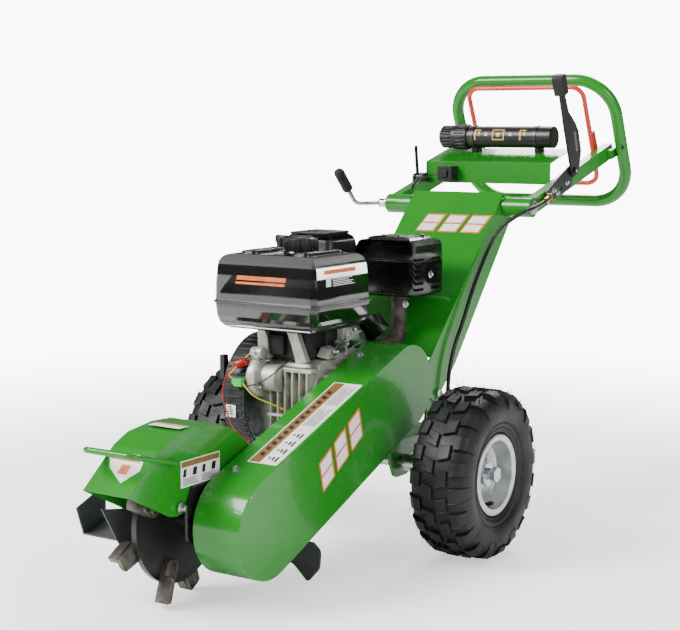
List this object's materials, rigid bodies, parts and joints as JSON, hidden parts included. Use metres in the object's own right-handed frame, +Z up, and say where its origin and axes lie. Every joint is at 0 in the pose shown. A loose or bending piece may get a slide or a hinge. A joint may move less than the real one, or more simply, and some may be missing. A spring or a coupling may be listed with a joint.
{
  "type": "stump grinder",
  "caption": "Walk-behind petrol stump grinder on knobby tyres, with a toothed cutter under a front hood, a belt guard and a tilting handlebar.",
  "frame": {"origin": "on the ground, in the middle of the machine's length and width", "axes": "+Z up, -Y towards the cutter end, +X towards the belt guard side"},
  "size_m": [0.7396, 1.8142, 1.0597],
  "materials": {
    "green_paint": "gloss green enamel",
    "red_paint": "gloss red enamel",
    "black_paint": "black enamel",
    "bright_steel": "bright zinc plate",
    "cast_alloy": "as-cast aluminium",
    "black_alloy": "black-painted finned casting",
    "tool_steel": "forged tooth steel",
    "tyre_rubber": "moulded tyre rubber",
    "soft_rubber": "ribbed grip rubber",
    "black_plastic": "moulded black plastic",
    "exhaust_iron": "heat-stained casting"
  },
  "bodies": {
    "chassis": {"axle": "bright_steel", "deck": "green_paint", "column": "green_paint", "fasteners": "bright_steel", "brake_cable_lower": "soft_rubber", "throttle_cable_lower": "soft_rubber", "crankcase": "cast_alloy", "cylinder": "black_alloy", "cylinder_shroud": "bright_steel", "fan_housing": "black_plastic", "recoil_cover": "black_plastic", "starter_motor": "cast_alloy", "fuel_tank": "black_paint", "air_filter_cover": "black_plastic", "carburettor": "black_plastic", "muffler": "black_paint", "exhaust_elbow": "exhaust_iron", "belt_guard": "green_paint", "guard_plate": "green_paint", "drive_belt": "soft_rubber", "bearing_mounts": "black_paint", "hood": "green_paint", "lift_handle": "green_paint", "deflector": "black_paint", "rubber_flap": "soft_rubber"},
    "right_wheel": {"tyre_right": "tyre_rubber", "rim_right": "bright_steel", "hub_right": "bright_steel"},
    "left_wheel": {"tyre_left": "tyre_rubber", "rim_left": "bright_steel", "hub_left": "bright_steel"},
    "handlebar": {"pivot_shaft": "bright_steel", "arm_left": "green_paint", "arm_right": "green_paint", "handle_loop": "green_paint", "tray": "green_paint", "switch_box": "black_plastic", "canister": "black_plastic", "canister_clamps": "bright_steel", "brake_bracket": "black_paint", "cable_fitting": "bright_steel", "brake_cable_upper": "soft_rubber", "throttle_base": "black_plastic", "throttle_cable_upper": "soft_rubber"},
    "bail": {"bail": "red_paint"},
    "kill_button": {"switch_button": "black_plastic"},
    "canister_lid": {"canister_cap": "black_plastic"},
    "clamp_lever": {"clamp_lever": "bright_steel", "clamp_grip": "soft_rubber"},
    "brake_lever": {"brake_lever": "black_paint", "brake_grip": "soft_rubber"},
    "throttle_lever": {"throttle_lever": "bright_steel"},
    "recoil_pull": {"recoil_handle": "black_plastic"},
    "filler_cap": {"fuel_cap": "black_plastic"},
    "engine_shaft": {"crankshaft": "cast_alloy"},
    "clutch": {"clutch_drum": "tool_steel"},
    "cutter": {"cutter_shaft": "bright_steel", "cutter_disc": "black_paint", "cutter_teeth": "tool_steel", "driven_pulley": "tool_steel"}
  },
  "joints": [
    {"name": "right_wheel_spin", "type": "hinge", "parent": "chassis", "child": "right_wheel", "pos_m": [0.301, -0.1071, 0.184], "axis": [1, 0, 0], "continuous": true},
    {"name": "left_wheel_spin", "type": "hinge", "parent": "chassis", "child": "left_wheel", "pos_m": [-0.301, -0.1071, 0.184], "axis": [1, 0, 0], "continuous": true},
    {"name": "handlebar_tilt", "type": "hinge", "parent": "chassis", "child": "handlebar", "pos_m": [0, 0.3659, 0.729], "axis": [1, 0, 0], "range_deg": [-20, 25], "deforming": ["brake_cable_upper", "throttle_cable_upper"]},
    {"name": "bail_squeeze", "type": "hinge", "parent": "handlebar", "child": "bail", "pos_m": [0, 0.79009, 0.85519], "axis": [1, 0, 0], "range_deg": [-4, 0], "stiffness_Nm_per_rad": 20, "springref_deg": 1.72},
    {"name": "kill_button_press", "type": "slide", "parent": "handlebar", "child": "kill_button", "axis": [0, 1, 0], "range_m": [0, 0.003], "stiffness_N_per_m": 500, "springref_m": -0.002},
    {"name": "canister_lid_pull", "type": "slide", "parent": "handlebar", "child": "canister_lid", "axis": [-1, 0, 0], "range_m": [0, 0.06]},
    {"name": "clamp_lever_turn", "type": "hinge", "parent": "handlebar", "child": "clamp_lever", "pos_m": [-0.232, 0.3659, 0.729], "axis": [1, 0, 0], "range_deg": [-60, 30]},
    {"name": "brake_lever_swing", "type": "hinge", "parent": "handlebar", "child": "brake_lever", "pos_m": [0.208, 0.57919, 0.81306], "axis": [1, 0, 0], "range_deg": [-35, 0]},
    {"name": "throttle_swing", "type": "hinge", "parent": "handlebar", "child": "throttle_lever", "pos_m": [-0.192, 0.48851, 0.79206], "axis": [1, 0, 0], "range_deg": [-20, 20]},
    {"name": "recoil_pull", "type": "slide", "parent": "chassis", "child": "recoil_pull", "axis": [0, -1, 0], "range_m": [0, 0.03], "stiffness_N_per_m": 60, "springref_m": -0.02},
    {"name": "filler_cap_lift", "type": "slide", "parent": "chassis", "child": "filler_cap", "axis": [0, 0, 1], "range_m": [0, 0.04]},
    {"name": "engine_shaft_spin", "type": "hinge", "parent": "chassis", "child": "engine_shaft", "pos_m": [0, -0.2271, 0.335], "axis": [1, 0, 0], "continuous": true},
    {"name": "cutter_spin", "type": "hinge", "parent": "chassis", "child": "cutter", "pos_m": [0, -0.6901, 0.163], "axis": [1, 0, 0], "continuous": true},
    {"name": "clutch_spin", "type": "hinge", "parent": "chassis", "child": "clutch", "pos_m": [0.084, -0.2271, 0.335], "axis": [1, 0, 0], "continuous": true}
  ],
  "couplings": [
    {"joint": "clutch_spin", "follows": "cutter_spin", "ratio": 1.0476}
  ]
}
